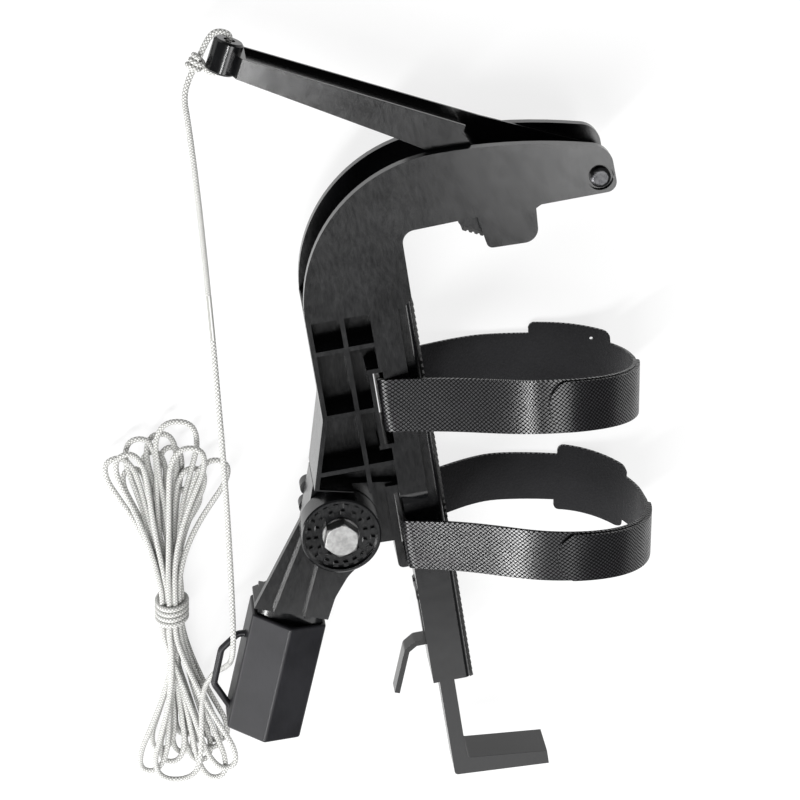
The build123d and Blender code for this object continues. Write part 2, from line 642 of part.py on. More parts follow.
def make_hank():
    """Outer shape of the hank: two fans of loops drawn in at the waist."""
    waist = 2.4
    rings = [
        (44.0, -59.0, 9.0, 5.0, 0.2), (32.0, -61.5, 21.0, 9.0, 0.2), (12.0, -66.0, 23.0, 11.0, 0.2),
        (-20.0, -72.0, 10.5, 11.5, 0.6), (-34.0, -74.6, 7.0, 9.5, waist), (-49.0, -76.3, 7.0, 9.5, waist),
        (-76.0, -80.0, 16.0, 11.0, 0.3), (-110.0, -82.3, 20.0, 9.5, 0.2), (-125.0, -80.0, 9.0, 5.0, 0.2),
    ]
    sections = []
    for y, x, half, height, lift in rings:
        plane = Plane(origin=(x, y, FLOOR + lift + height / 2), x_dir=(1, 0, 0), z_dir=(0, -1, 0))
        sections.append(plane * oval(half, height / 2))
    return loft(sections, ruled=True)


def make_wraps():
    """Turns of the cord round the hank's waist."""
    turns = 4
    wraps = None
    for turn in range(turns):
        y = -37.5 - turn * 2 * CORD_R * 0.98
        plane = Plane(origin=(-75.4, y, FLOOR + 7.15), x_dir=(1, 0, 0), z_dir=(0, -1, 0))
        ring = extrude(plane * (oval(9.8, 7.1) - oval(7.6, 4.9)), amount=CORD_R, both=True)
        wraps = ring if wraps is None else wraps + ring
    return wraps


# ---------------------------------------------------------------- write
def main():
    nodes = {
        "body_frame": make_frame(),
        "can_grip_strip": make_grip_strip(),
        "lever_pivot_pin": make_pivot_pin(),
        "pivot_pin_cap": make_pin_retainer(),
        "upper_strap": make_strap(*UPPER_STRAP),
        "lower_strap": make_strap(*LOWER_STRAP),
        "trigger_lever": at_lever(make_lever()),
        "nozzle_pad": at_lever(make_nozzle_pad()),
        "can_rest": make_can_rest(),
        "rest_latch": make_latch(),
        "latch_pin": make_latch_pin(),
        "pole_yoke": make_yoke(),
        "socket_sleeve": make_socket(),
        "tilt_bolt": make_bolt(),
        "bolt_washer": make_washer(HEAD_SEAT_Z, HEAD_SEAT_Z + WASHER, 7.4),
        "friction_washer": make_washer(LUG[1] + 0.3, EAR[0], 12.0),
        "knob_washer": make_washer(KNOB_TOP_Z + 0.3, LUG[0] - 0.3, 9.0),
        "star_knob": make_knob(),
        "knob_nut": make_knob_nut(),
        "cord_upper": tube(UPPER_RUN),
        "cord_lower": tube(LOWER_RUN),
        "eye_knot": at_lever(make_eye_knot()),
        "cord_hank": make_hank(),
        "hank_wraps": make_wraps(),
    }
    place = Pos(HINGE_X, HINGE_Y, HINGE_Z)
    for name, solid in nodes.items():
        solid = place * solid
        solid.label = name
        export_step(solid, f"parts/{name}.step")


main()
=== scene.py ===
# %% [markdown]
# # Spray-can holder for an extension pole
#
# This is a tool that a painter puts on the end of a pole. A curved black frame holds a spray can
# with two hook-and-loop straps, and a cord pulls a long lever that presses the can's nozzle. The
# hard parts come from the CAD frame, where their sizes are right. Blender's work is what CAD
# leaves out: soft edges that catch the light, the weave of the straps, the braid of the cord, the
# hank that the cord is wound into, and a finish for each material.

# %% Load the frame
import json
import math

import bpy
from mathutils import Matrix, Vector


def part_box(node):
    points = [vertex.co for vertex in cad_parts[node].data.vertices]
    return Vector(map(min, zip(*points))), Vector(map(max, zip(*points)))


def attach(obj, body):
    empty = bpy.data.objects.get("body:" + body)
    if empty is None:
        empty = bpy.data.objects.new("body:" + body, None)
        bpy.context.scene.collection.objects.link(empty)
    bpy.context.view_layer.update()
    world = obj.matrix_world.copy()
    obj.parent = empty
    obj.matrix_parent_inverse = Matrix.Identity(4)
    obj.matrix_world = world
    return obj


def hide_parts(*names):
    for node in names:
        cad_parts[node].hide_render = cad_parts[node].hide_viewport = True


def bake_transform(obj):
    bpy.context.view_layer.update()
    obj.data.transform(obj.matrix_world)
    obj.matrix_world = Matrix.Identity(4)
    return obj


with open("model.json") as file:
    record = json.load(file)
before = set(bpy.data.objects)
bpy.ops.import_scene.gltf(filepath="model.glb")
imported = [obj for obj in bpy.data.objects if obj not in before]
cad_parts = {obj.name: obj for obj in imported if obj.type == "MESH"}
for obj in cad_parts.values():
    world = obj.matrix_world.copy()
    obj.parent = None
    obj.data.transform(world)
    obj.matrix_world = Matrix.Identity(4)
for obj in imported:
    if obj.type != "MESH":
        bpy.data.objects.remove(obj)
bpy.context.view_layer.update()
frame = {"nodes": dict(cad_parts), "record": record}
nodes = frame["nodes"]

# %% [markdown]
# ## The view
#
# The holder lies on its far side. The camera looks down at it from well above the nozzle end,
# turned a little, through a long lens, so that the two cheeks of the frame show one above the
# other and the hoops of the straps open into flat ovals. Angles are easiest to read in degrees,
# and the lens is the ratio of the distance to the height that the picture takes in.

# %% Camera
MM = 0.001
lens = bpy.data.cameras.new("camera")
lens.sensor_width = 36.0
lens.lens = 117.0
lens.clip_end = 20.0
camera = bpy.data.objects.new("camera", lens)
camera.location = Vector((-40.14, 426.24, 986.25)) * MM
camera.rotation_euler = [math.radians(angle) for angle in (-23.123, -6.116, -8.656)]
bpy.context.collection.objects.link(camera)
bpy.context.scene.camera = camera

# %% [markdown]
# ## The cord's path
#
# The cord is thin, soft braid. It leaves a knot at the lever's eye, hangs down behind the frame,
# passes through the guide loop on the pole socket and goes on into a hank. A soft cord has no
# corners, so its line is a NURBS spline of order 3, pulled by a few control points and passing
# close to them. The places are measured from the axis of the tilt bolt, as in the CAD.

# %% Places along the cord
FLOOR = -35.0
CORD_R = 1.15
bolt_low, bolt_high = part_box("tilt_bolt")
AXIS = Vector(((bolt_low[0] + bolt_high[0]) / 2, (bolt_low[1] + bolt_high[1]) / 2, -FLOOR * MM))


def place(x, y, z):
    """A point given in millimetres from the bolt's axis, in metres in the frame."""
    return AXIS + Vector((x, y, z)) * MM


UPPER_RUN = [
    (-21.6, 197.0, 0.2), (-29.0, 188.6, -0.3), (-29.2, 174.0, 0.2), (-30.7, 147.0, -0.5),
    (-33.2, 115.5, -0.4), (-35.8, 86.0, 0.2),
]
LOWER_RUN = [
    (-35.8, 86.0, 0.2), (-39.3, 48.6, 0.96), (-44.0, 6.0, 0.3), (-48.2, -26.0, 2.8),
    (-51.0, -45.0, 4.6), (-53.4, -56.0, 1.0), (-57.0, -64.0, -9.0), (-64.0, -71.0, -18.0),
    (-70.5, -82.0, -21.5),
]
print("run points", len(UPPER_RUN), len(LOWER_RUN))

# %% [markdown]
# ## The hank
#
# The rest of the cord is wound into a hank: twelve long turns gathered at a waist and held by four
# turns of the cord's own end. Nothing ties the turns outside the waist, so they fan out like
# petals, each with its own direction, length and width, and they lie over each other. Each petal
# is named by its tip and its width. Its side view is a short list of steps: how far along the
# petal, and how far out. Heights fall from petal to petal, so that crossing strands rest on each
# other and none passes through its neighbour.

# %% Petals of the hank
TOP_PETALS = [
    (-52.8, 33.0, 14.0), (-81.0, 35.0, 11.5), (-42.6, 24.0, 12.5), (-86.4, 33.0, 12.0),
    (-56.6, 44.0, 17.5), (-75.0, 39.0, 12.5), (-53.5, 20.5, 11.0), (-80.5, 25.0, 10.0),
    (-65.4, 38.0, 12.5), (-57.0, 10.0, 11.0), (-62.0, 30.0, 9.6), (-70.5, 29.0, 9.6),
]
LOW_PETALS = [
    (-88.0, -121.5, 20.0), (-64.6, -120.6, 11.0), (-99.6, -115.6, 11.5), (-70.6, -125.8, 11.0),
    (-89.5, -114.5, 11.0), (-70.0, -112.0, 10.0), (-93.0, -108.5, 10.0), (-76.2, -118.6, 10.0),
    (-83.5, -113.5, 10.0), (-66.5, -111.5, 10.5), (-80.5, -106.5, 9.4), (-75.0, -109.0, 9.4),
]
PETAL_STEPS = [
    (0.14, 0.04), (0.32, 0.14), (0.52, 0.38), (0.71, 0.74), (0.87, 1.02), (0.985, 0.62),
]
FLARE = 1.4
SETTLED = 0.45
WAIST_TOP, WAIST_LOW = (-73.4, -31.0), (-76.7, -49.0)
WAIST_Z = FLOOR + 10.6
# heights of the fanned turns: the lowest one's gap to the table, the step, the ease between two
FAN_GAP, FAN_STEP, FAN_EASE = 0.15, 1.15, 0.3
# the free run meets the hank on the far side of its first petal
FIRST_POINT = 4
# strands at the waist: height of the layer in strands, and the place of the left and right strand
CELLS = [(3, -0.5, 0.5)]
for layer in (2, 1, 0, -1, -2):
    lean = 0.25 if layer % 2 else -0.25
    CELLS += [(layer, lean - 1.5, lean - 0.5), (layer, lean + 0.5, lean + 1.5)]
CELLS.append((-3, -0.5, 0.5))
PITCH = 2.36


def fan_height(turn):
    """Height of a turn's petals, the first turn being on top."""
    return FLOOR + CORD_R + FAN_GAP + FAN_STEP * (len(CELLS) - 1 - turn)


def petal(base, tip, start, end, heights):
    """Points round one petal, from a strand at the waist to another."""
    tip_x, tip_y, width = tip
    axis = Vector((tip_x - base[0], tip_y - base[1]))
    across = Vector((axis.y, -axis.x)).normalized()
    points = []
    steps = [(along, -out) for along, out in PETAL_STEPS]
    steps += [(along, out) for along, out in reversed(PETAL_STEPS)]
    for number, (along, out) in enumerate(steps):
        share = number / (len(steps) - 1)
        strand_x, strand_z = start if share < 0.5 else end
        middle = Vector((base[0] + axis.x * along ** FLARE, base[1] + axis.y * along))
        point = middle + across * (out * width / 2) + Vector((strand_x, 0)) * (1 - along)
        free = heights[0] + (heights[1] - heights[0]) * share
        settle = min(1.0, along / SETTLED)
        settle = settle * settle * (3 - 2 * settle)
        points.append((point.x, point.y, strand_z + (free - strand_z) * settle))
    return points


def strand(turn, side):
    """Sideways place and height of a turn's left (0) or right (1) strand at the waist."""
    layer, left, right = CELLS[turn]
    return ((left, right)[side] * PITCH, WAIST_Z + layer * PITCH)


def through_waist(strand_place, upwards):
    """The straight of a strand through the waist."""
    across, height = strand_place
    ends = [WAIST_LOW, WAIST_TOP] if upwards else [WAIST_TOP, WAIST_LOW]
    points = []
    for share in (0.0, 0.5, 1.0):
        x = ends[0][0] + (ends[1][0] - ends[0][0]) * share
        y = ends[0][1] + (ends[1][1] - ends[0][1]) * share
        points.append((x + across, y, height))
    return points


first_level = (fan_height(0), fan_height(0))
first_petal = petal(WAIST_LOW, LOW_PETALS[0], strand(0, 1), strand(0, 0), first_level)
hank = first_petal[FIRST_POINT:]
for turn in range(len(CELLS)):
    left, right = strand(turn, 0), strand(turn, 1)
    hank += through_waist(left, upwards=True)
    level = fan_height(turn)
    hank += petal(WAIST_TOP, TOP_PETALS[turn], left, right, (level, level))
    hank += through_waist(right, upwards=False)
    if turn + 1 < len(CELLS):
        following = strand(turn + 1, 0)
        heights = (level - FAN_EASE, fan_height(turn + 1) + FAN_EASE)
        hank += petal(WAIST_LOW, LOW_PETALS[turn + 1], right, following, heights)
print("hank points", len(hank))

# %% [markdown]
# ## The waist wraps
#
# The free end of the cord goes four times round the waist, each turn beside the last, and is
# tucked in under the hank. The turns are taller than they are wide, as the bundle is, and twelve
# points to a turn are enough for a round spline.

# %% Wraps and the tucked end
WRAPS = 4
WRAP_POINTS = 12
WRAP_WIDE, WRAP_HIGH = 6.4, 9.3
WRAP_FIRST_Y = -45.0
WRAP_START = -150


def waist_x(y):
    """Middle of the waist at a place along it."""
    share = (y - WAIST_LOW[1]) / (WAIST_TOP[1] - WAIST_LOW[1])
    return WAIST_LOW[0] + (WAIST_TOP[0] - WAIST_LOW[0]) * share


under = WAIST_Z - WRAP_HIGH
hank += [
    (-74.2, -54.0, under + 1.2), (-74.4, -58.5, under + 0.4), (-77.2, -60.8, under + 0.1),
    (-80.2, -58.4, under + 0.6), (-81.4, -53.6, under + 2.6),
]
for step in range(WRAPS * WRAP_POINTS + 1):
    angle = math.radians(WRAP_START + 360 * step / WRAP_POINTS)
    y = WRAP_FIRST_Y + PITCH * step / WRAP_POINTS
    hank.append(
        (waist_x(y) + WRAP_WIDE * math.cos(angle), y, WAIST_Z + WRAP_HIGH * math.sin(angle))
    )
hank += [(-74.5, -33.4, under), (-72.8, -30.0, under), (-73.0, -25.0, under)]
print("points with wraps", len(hank))

# %% [markdown]
# ## Cord as a tube with its own map
#
# A NURBS curve with a round bevel is already a cord. Its braid has to follow the cord, so the
# curve is made a mesh, whose rings come in order, and each corner gets a place along the cord and
# a place round it. The same spline, made a mesh without its bevel, gives the line that the cord's
# length is measured on.

# %% Cord helper
SIDES = 12
CORD_STEPS = 5


def pick(piece):
    """Leaves one object selected and active."""
    bpy.ops.object.select_all(action="DESELECT")
    piece.select_set(True)
    bpy.context.view_layer.objects.active = piece


def soft_cord(name, points):
    """A cord through a soft spline: the tube, its centreline's points and its length."""
    curve = bpy.data.curves.new(name, "CURVE")
    curve.dimensions = "3D"
    spline = curve.splines.new("NURBS")
    spline.points.add(len(points) - 1)
    for control, point in zip(spline.points, points):
        control.co = (*place(*point), 1.0)
    spline.order_u = 3
    spline.use_endpoint_u = True
    curve.resolution_u = CORD_STEPS
    curve.use_fill_caps = True
    carrier = bpy.data.objects.new(name, curve)
    bpy.context.collection.objects.link(carrier)
    line_mesh = bpy.data.meshes.new_from_object(carrier)
    line = [vertex.co.copy() for vertex in line_mesh.vertices]
    curve.bevel_depth = CORD_R * MM
    curve.bevel_resolution = (SIDES - 4) // 2
    pick(carrier)
    bpy.ops.object.convert(target="MESH")
    tube = bpy.context.object
    along = [0.0]
    for before, after in zip(line, line[1:]):
        along.append(along[-1] + (after - before).length)
    layer = tube.data.uv_layers.new(name="braid")
    for face in tube.data.polygons:
        rings = [tube.data.loops[corner].vertex_index // SIDES for corner in face.loop_indices]
        turns = [tube.data.loops[corner].vertex_index % SIDES for corner in face.loop_indices]
        seam = max(turns) - min(turns) > SIDES / 2
        for corner, ring, turn in zip(face.loop_indices, rings, turns):
            ring = min(ring, len(along) - 1)
            turned = turn + SIDES if seam and turn < SIDES / 2 else turn
            layer.data[corner].uv = (along[ring], turned / SIDES)
    bpy.ops.object.shade_smooth()
    print(name, "length", round(along[-1], 3), "m", "vertices", len(tube.data.vertices))
    return tube, line, along[-1]


# %% [markdown]
# ## The loop at the eye
#
# The cord's upper end goes through the eye, comes back round the barrel and is tied to the run in
# a small knot of two and a half turns. Its places are measured from the middle of the eye, along
# the lever and along the bore, and then turned to the lever's lean.

# %% Loop and knot
EYE_PLACE = (-11.1, 197.8)
LEVER_LEAN = math.radians(-27.1)


def at_eye(x, y, z=0.0):
    """A place given from the middle of the lever's eye, as a place from the bolt's axis."""
    return (
        EYE_PLACE[0] + x * math.cos(LEVER_LEAN) - y * math.sin(LEVER_LEAN),
        EYE_PLACE[1] + x * math.sin(LEVER_LEAN) + y * math.cos(LEVER_LEAN),
        z,
    )


eye_path = [
    at_eye(-9.0, -4.0, 0.2), at_eye(-8.6, 0.0, 0.2), at_eye(-7.9, 4.4), at_eye(-6.4, 7.9),
    at_eye(-3.0, 9.0), at_eye(0.0, 8.2), at_eye(0.0, 4.0), at_eye(0.0, -4.0),
    at_eye(-0.2, -7.2, -0.6), at_eye(-3.4, -7.9, -1.4), at_eye(-6.6, -6.6, -1.8),
]
KNOT_TURNS = 2.5
KNOT_POINTS = 12
KNOT_REACH = 2.35
KNOT_START = -90
knot_top, knot_end = Vector((-8.7, -3.0)), Vector((-10.2, -8.2))
knot_axis = (knot_end - knot_top).normalized()
knot_across = Vector((knot_axis.y, -knot_axis.x))
for step in range(int(KNOT_TURNS * KNOT_POINTS) + 1):
    angle = math.radians(KNOT_START + 360 / KNOT_POINTS * step)
    share = step / (KNOT_TURNS * KNOT_POINTS)
    middle = knot_end.lerp(knot_top, share)
    spot = middle + knot_across * (KNOT_REACH * math.cos(angle))
    eye_path.append(at_eye(spot.x, spot.y, KNOT_REACH * math.sin(angle)))
eye_loop, _, eye_length = soft_cord("eye_loop", eye_path)

# %% [markdown]
# ## The two free runs
#
# The cord is one, but the lever moves its upper part and the tilt of the head moves its lower
# part, so the run is parted half way down the frame. Both parts end at the same place there. The
# lower one goes on without a break into the hank and its wraps.

# %% Pull cord and hank cord
pull_cord, pull_line, pull_length = soft_cord("pull_cord", UPPER_RUN)
hank_cord, hank_line, hank_length = soft_cord("hank_cord", LOWER_RUN + hank)

# %% [markdown]
# ## Writing a finish as arithmetic
#
# A procedural finish is a small sum: a pattern, made stronger or weaker, mixed into a colour and
# a roughness. The class below lets an output socket be added and multiplied in Python, and each
# sign adds its Math node, so that a finish reads as the formula that it is.


# %% Sockets and finishes
class Wire:
    """An output socket that arithmetic signs work on."""

    def __init__(self, graph, socket):
        self.graph = graph
        self.socket = socket

    def maths(self, operation, *values):
        return self.graph.node(
            "ShaderNodeMath", {"operation": operation}, dict(enumerate(values))
        )

    def __add__(self, other):
        return self.maths("ADD", self, other)

    def __sub__(self, other):
        return self.maths("SUBTRACT", self, other)

    def __rsub__(self, other):
        return self.maths("SUBTRACT", other, self)

    def __mul__(self, other):
        return self.maths("MULTIPLY", self, other)

    def __pow__(self, other):
        return self.maths("POWER", self, other)

    __radd__ = __add__
    __rmul__ = __mul__

    def sine(self):
        return self.maths("SINE", self)

    def size(self):
        return self.maths("ABSOLUTE", self)

    def between(self, low, high):
        """0 below low, 1 above high, and smooth between."""
        return self.graph.node(
            "ShaderNodeMapRange", {"interpolation_type": "SMOOTHSTEP"},
            {"Value": self, "From Min": low, "From Max": high},
        )


class Graph:
    """A node tree that nodes are added to."""

    def __init__(self, tree):
        self.tree = tree

    def node(self, kind, settings=None, inputs=None, output=0):
        """A node of a type, with its settings first, and then its inputs' values or links."""
        made = self.tree.nodes.new(kind)
        for key, value in (settings or {}).items():
            setattr(made, key, value)
        for key, value in (inputs or {}).items():
            if isinstance(value, Wire):
                self.tree.links.new(value.socket, made.inputs[key])
            else:
                made.inputs[key].default_value = value
        return Wire(self, made.outputs[output])

    def plainly_seen(self):
        """1 for the rays that see a thing from the camera, in a gloss or through glass."""
        seen = [
            self.node("ShaderNodeLightPath", output=kind)
            for kind in ("Is Camera Ray", "Is Glossy Ray", "Is Transmission Ray")
        ]
        mirrored = seen[1].maths("MAXIMUM", seen[1], seen[2])
        return mirrored.maths("MAXIMUM", seen[0], mirrored)


class Finish(Graph):
    """A material on the Principled surface."""

    def __init__(self, name, **constants):
        self.material = bpy.data.materials.new(name)
        self.material.use_nodes = True
        super().__init__(self.material.node_tree)
        self.surface = self.tree.nodes["Principled BSDF"]
        for socket, value in constants.items():
            self.surface.inputs[socket.replace("_", " ")].default_value = value

    def here(self):
        """Place on the object, in metres."""
        return self.node("ShaderNodeTexCoord", output="Object")

    def along(self, name):
        """Place along and across a named map, as two numbers."""
        place_on_map = self.node("ShaderNodeUVMap", {"uv_map": name})
        parts = self.node("ShaderNodeSeparateXYZ", inputs={0: place_on_map})
        return parts, Wire(self, parts.socket.node.outputs[1])

    def noise(self, grain, detail=3.0, roughness=0.5, stretch=None):
        """Soft noise whose blobs are about grain metres across."""
        where = self.here()
        if stretch:
            where = self.node("ShaderNodeMapping", inputs={"Vector": where, "Scale": stretch})
        return self.node(
            "ShaderNodeTexNoise", inputs={
                "Vector": where, "Scale": 1 / grain, "Detail": detail, "Roughness": roughness,
            },
        )

    def mix(self, factor, first, second):
        """A colour between two colours."""
        return self.node(
            "ShaderNodeMix", {"data_type": "RGBA"}, {0: factor, 6: first, 7: second}, output=2
        )

    def feed(self, socket, wire):
        """Lets a pattern drive one of the surface's sockets."""
        self.tree.links.new(wire.socket, self.surface.inputs[socket])

    def bump(self, height, depth, strength=1.0):
        """Raises and lowers the surface's shading by a height pattern, depth in metres."""
        self.feed("Normal", self.node(
            "ShaderNodeBump", inputs={"Strength": strength, "Distance": depth, "Height": height},
            output="Normal",
        ))


print("finish helper ready")

# %% [markdown]
# ## Black mouldings
#
# The frame, the lever and the neck are black nylon from a polished mould. The black is deep, and
# what one sees is mostly its gloss: broad soft reflections, slightly broken by the sink and flow
# of the plastic. A coarse, very shallow unevenness bends the reflections, and fine scuffs change
# the roughness. The pole socket is the same plastic from a duller mould, and looks greyer: its
# rougher finish is real, and its lighter base colour is painted light, standing in for the light
# that the white floor throws up on it. The knob's lighter base colour is a painted reflection.


# %% Moulded plastics
def moulded(name, dark, light, roughness, wave=0.00012, specular=0.42):
    """Black plastic with soft flow marks and fine scuffs."""
    finish = Finish(name, Specular_IOR_Level=specular)
    flow = finish.noise(0.02, 2.0)
    scuff = finish.noise(0.0012, 4.0, 0.6, stretch=(1.0, 0.35, 1.0))
    stain = (flow * 0.7 + scuff * 0.3).between(0.3, 0.75)
    finish.feed("Base Color", finish.mix(stain, dark, light))
    finish.feed("Roughness", roughness + (scuff - 0.5) * 0.12 + (flow - 0.5) * 0.06)
    grain = finish.noise(0.0007, 2.0)
    finish.bump(flow + grain * 0.05 + scuff * 0.03, wave)
    return finish.material


black_moulding = moulded(
    "black_moulding", dark=(0.0016, 0.0017, 0.002, 1.0), light=(0.0042, 0.0044, 0.005, 1.0),
    roughness=0.20,
)
# The socket's lighter base colour is painted light from the white floor below; its higher
# roughness is real.
socket_moulding_painted_lighter = moulded(
    "socket_moulding_painted_lighter", dark=(0.008, 0.008, 0.0095, 1.0), light=(0.015, 0.015, 0.0175, 1.0),
    roughness=0.40, wave=0.0001, specular=0.24,
)
# The knob's lighter base colour is a painted reflection, standing in for the gloss that greys its
# lobes.
knob_moulding_painted_lighter = moulded(
    "knob_moulding_painted_lighter", dark=(0.010, 0.010, 0.011, 1.0), light=(0.017, 0.017, 0.018, 1.0),
    roughness=0.38,
)
print("mouldings", black_moulding.name, socket_moulding_painted_lighter.name, knob_moulding_painted_lighter.name)

# %% [markdown]
# ## Rubber and metals
#
# The toothed strip on the rail and the pad under the lever's foot are soft rubber, duller than
# the plastic. The bolt, its washer and the latch pin are zinc plated: bright, with a faint cloudy
# crystal pattern and fine scratches. The lever's pin is blackened steel.


# %% Rubber and metals
def rubber():
    """Soft black rubber with dust in its grain."""
    finish = Finish("grip_rubber", Specular_IOR_Level=0.3)
    dust = finish.noise(0.0016, 4.0)
    finish.feed("Base Color", finish.mix(dust, (0.010, 0.010, 0.010, 1), (0.024, 0.024, 0.024, 1)))
    finish.feed("Roughness", 0.55 + (dust - 0.5) * 0.3)
    finish.bump(dust, 0.00008)
    return finish.material


SCRATCH_DEPTH = 0.00002


def metal(name, dark, light, roughness):
    """Plated steel with cloudy plating and fine scratches."""
    finish = Finish(name, Metallic=1.0)
    cloud = finish.noise(0.0022, 3.0)
    scratch = finish.noise(0.0005, 3.0, 0.7, stretch=(1.0, 0.08, 1.0))
    finish.feed("Base Color", finish.mix(cloud.between(0.3, 0.7), dark, light))
    finish.feed("Roughness", roughness + (cloud - 0.5) * 0.2 + (scratch - 0.5) * 0.12)
    finish.bump(scratch + cloud * 0.4, SCRATCH_DEPTH)
    return finish.material


grip_rubber = rubber()
zinc = metal(
    "zinc_plate", dark=(0.16, 0.16, 0.158, 1), light=(0.24, 0.24, 0.237, 1), roughness=0.46
)
blackened = metal(
    "blackened_steel", dark=(0.035, 0.035, 0.037, 1), light=(0.07, 0.07, 0.073, 1),
    roughness=0.30,
)
print("metals", zinc.name, blackened.name)

# %% [markdown]
# ## Braided cord
#
# A braid is two sets of strands that wind round the cord in opposite directions, over and under
# each other. Two slanted sine waves over the tube's map, multiplied, give the row of small
# lozenges that the crossings make. Their tops are nearly white, and the hollows between them are
# painted greyer: painted shade between the strands of a white cord.


# %% Cord finish
BRAID_CARRIERS = 4.0
BRAID_LAY = 0.0052


def braid():
    """Two crossing sets of pale strands."""
    finish = Finish("braided_cord", Roughness=0.6, Specular_IOR_Level=0.25)
    along, around = finish.along("braid")
    advance = along * (math.pi * BRAID_CARRIERS / BRAID_LAY)
    turn = around * (math.pi * BRAID_CARRIERS)
    left = (advance + turn).sine().size()
    right = (advance - turn).sine().size()
    crossing = left * right
    lit = crossing.between(0.08, 0.7)
    wear = finish.noise(0.004, 3.0)
    pale = finish.mix(wear, (0.60, 0.60, 0.585, 1), (0.69, 0.69, 0.675, 1))
    # The grey of the hollows is painted shade; the pale tops, varied by wear, are the cord's own
    # colour.
    finish.feed("Base Color", finish.mix(lit, (0.29, 0.29, 0.275, 1), pale))
    finish.bump(crossing ** 0.5, 0.00028)
    return finish.material


cord_finish = braid()
for piece in (eye_loop, pull_cord, hank_cord):
    piece.data.materials.append(cord_finish)
print("cord finish", cord_finish.name)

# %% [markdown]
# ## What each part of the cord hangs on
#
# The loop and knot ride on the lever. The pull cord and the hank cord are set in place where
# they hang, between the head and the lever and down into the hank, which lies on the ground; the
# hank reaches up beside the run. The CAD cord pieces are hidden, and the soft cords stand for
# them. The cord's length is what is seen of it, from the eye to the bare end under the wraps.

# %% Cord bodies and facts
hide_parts("eye_knot")
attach(eye_loop, "lever")
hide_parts("cord_upper")
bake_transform(pull_cord)
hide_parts("cord_lower", "cord_hank", "hank_wraps")
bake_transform(hank_cord)
print("cord in all", round(eye_length + pull_length + hank_length, 2), "m")

# %% [markdown]
# ## Soft edges on the hard parts
#
# A CAD edge is perfectly sharp, and no moulding or forging is. The thin bright line along the rim
# of a cheek and down each rib is light on a small round edge. A copy of a CAD piece is joined at
# its corners, its flat areas are made whole again, and a bevel rounds the edges. The copy then
# stands for the piece, and moves with the same body.


# %% Edge helper
def body_of(node):
    """The CAD body that a node belongs to."""
    for body, members in frame["record"]["behaviour"]["bodies"].items():
        if node in members:
            return body


def copy_of(node, name):
    """A joined copy of a CAD piece, with flat areas whole, that stands for the piece."""
    piece = nodes[node].copy()
    piece.data = nodes[node].data.copy()
    piece.name = name
    for key in list(piece.keys()):
        del piece[key]
    bpy.context.collection.objects.link(piece)
    pick(piece)
    bpy.ops.object.mode_set(mode="EDIT")
    bpy.ops.mesh.select_all(action="SELECT")
    bpy.ops.mesh.remove_doubles(threshold=0.00001)
    bpy.ops.mesh.dissolve_limited(angle_limit=math.radians(0.4))
    bpy.ops.object.mode_set(mode="OBJECT")
    return piece


def round_edges(piece, width, sharp):
    """Bevels the edges that are sharper than an angle in degrees, width in millimetres."""
    bevel = piece.modifiers.new("edges", "BEVEL")
    bevel.width = width * MM
    bevel.segments = 2
    bevel.limit_method = "ANGLE"
    bevel.angle_limit = math.radians(sharp)
    bpy.ops.object.modifier_apply(modifier="edges")


def even_shading(piece, smooth):
    """Smooths edges below an angle in degrees, and lets flat faces lead the shading."""
    bpy.ops.object.shade_smooth_by_angle(angle=math.radians(smooth))
    even = piece.modifiers.new("even", "WEIGHTED_NORMAL")
    even.keep_sharp = True
    even.weight = 100
    bpy.ops.object.modifier_apply(modifier="even")


def softened(node, finish, edge, slot):
    """A copy of a CAD piece with round edges and its finish, edge in millimetres."""
    piece = copy_of(node, node + "_soft")
    round_edges(piece, edge, sharp=38)
    piece.data.materials.clear()
    piece.data.materials.append(finish)
    even_shading(piece, smooth=32)
    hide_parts(node)
    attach(piece, body_of(node))
    print(piece.name, len(piece.data.polygons), "faces")


# node, finish, edge in millimetres, slot
MOULDINGS = [
    ("body_frame", black_moulding, 0.6, "black_plastic"),
    ("trigger_lever", black_moulding, 0.6, "black_plastic"),
    ("pole_yoke", black_moulding, 0.5, "black_plastic"),
    ("socket_sleeve", socket_moulding_painted_lighter, 1.0, "black_plastic"),
    ("can_rest", black_moulding, 0.35, "black_plastic"),
    ("rest_latch", black_moulding, 0.3, "black_plastic"),
    ("star_knob", knob_moulding_painted_lighter, 0.5, "knob_plastic"),
    ("can_grip_strip", grip_rubber, 0.15, "black_rubber"),
    ("nozzle_pad", grip_rubber, 0.25, "black_rubber"),
    ("tilt_bolt", zinc, 0.3, "zinc_steel"),
    ("lever_pivot_pin", blackened, 0.3, "black_steel"),
]
for row in MOULDINGS:
    softened(*row)

# %% [markdown]
# ## Small hardware
#
# Washers, the nut, the cap on the pin's far end and the latch's pin are right as CAD made them,
# so each keeps its shape and only gets its finish.

# %% Finishes on CAD pieces
HARDWARE = {
    "bolt_washer": zinc, "knob_washer": zinc, "knob_nut": zinc, "latch_pin": zinc,
    "friction_washer": knob_moulding_painted_lighter, "pivot_pin_cap": blackened,
}
for node, finish in HARDWARE.items():
    nodes[node].data.materials.clear()
    nodes[node].data.materials.append(finish)
print("hardware", len(HARDWARE))

# %% [markdown]
# ## Straps
#
# Each strap is a band of hook-and-loop webbing. Its outside is woven in fine lozenges that
# catch the light in bright patches, with painted shade in the gaps between them, and its inside is
# a dull pile. The weave has to run along the band, so the strap gets a map: the distance round the
# hoop, and the height above its lower edge.


# %% Strap finishes
WEAVE_PITCH = 0.00165
WEAVE_SLANT = 0.75


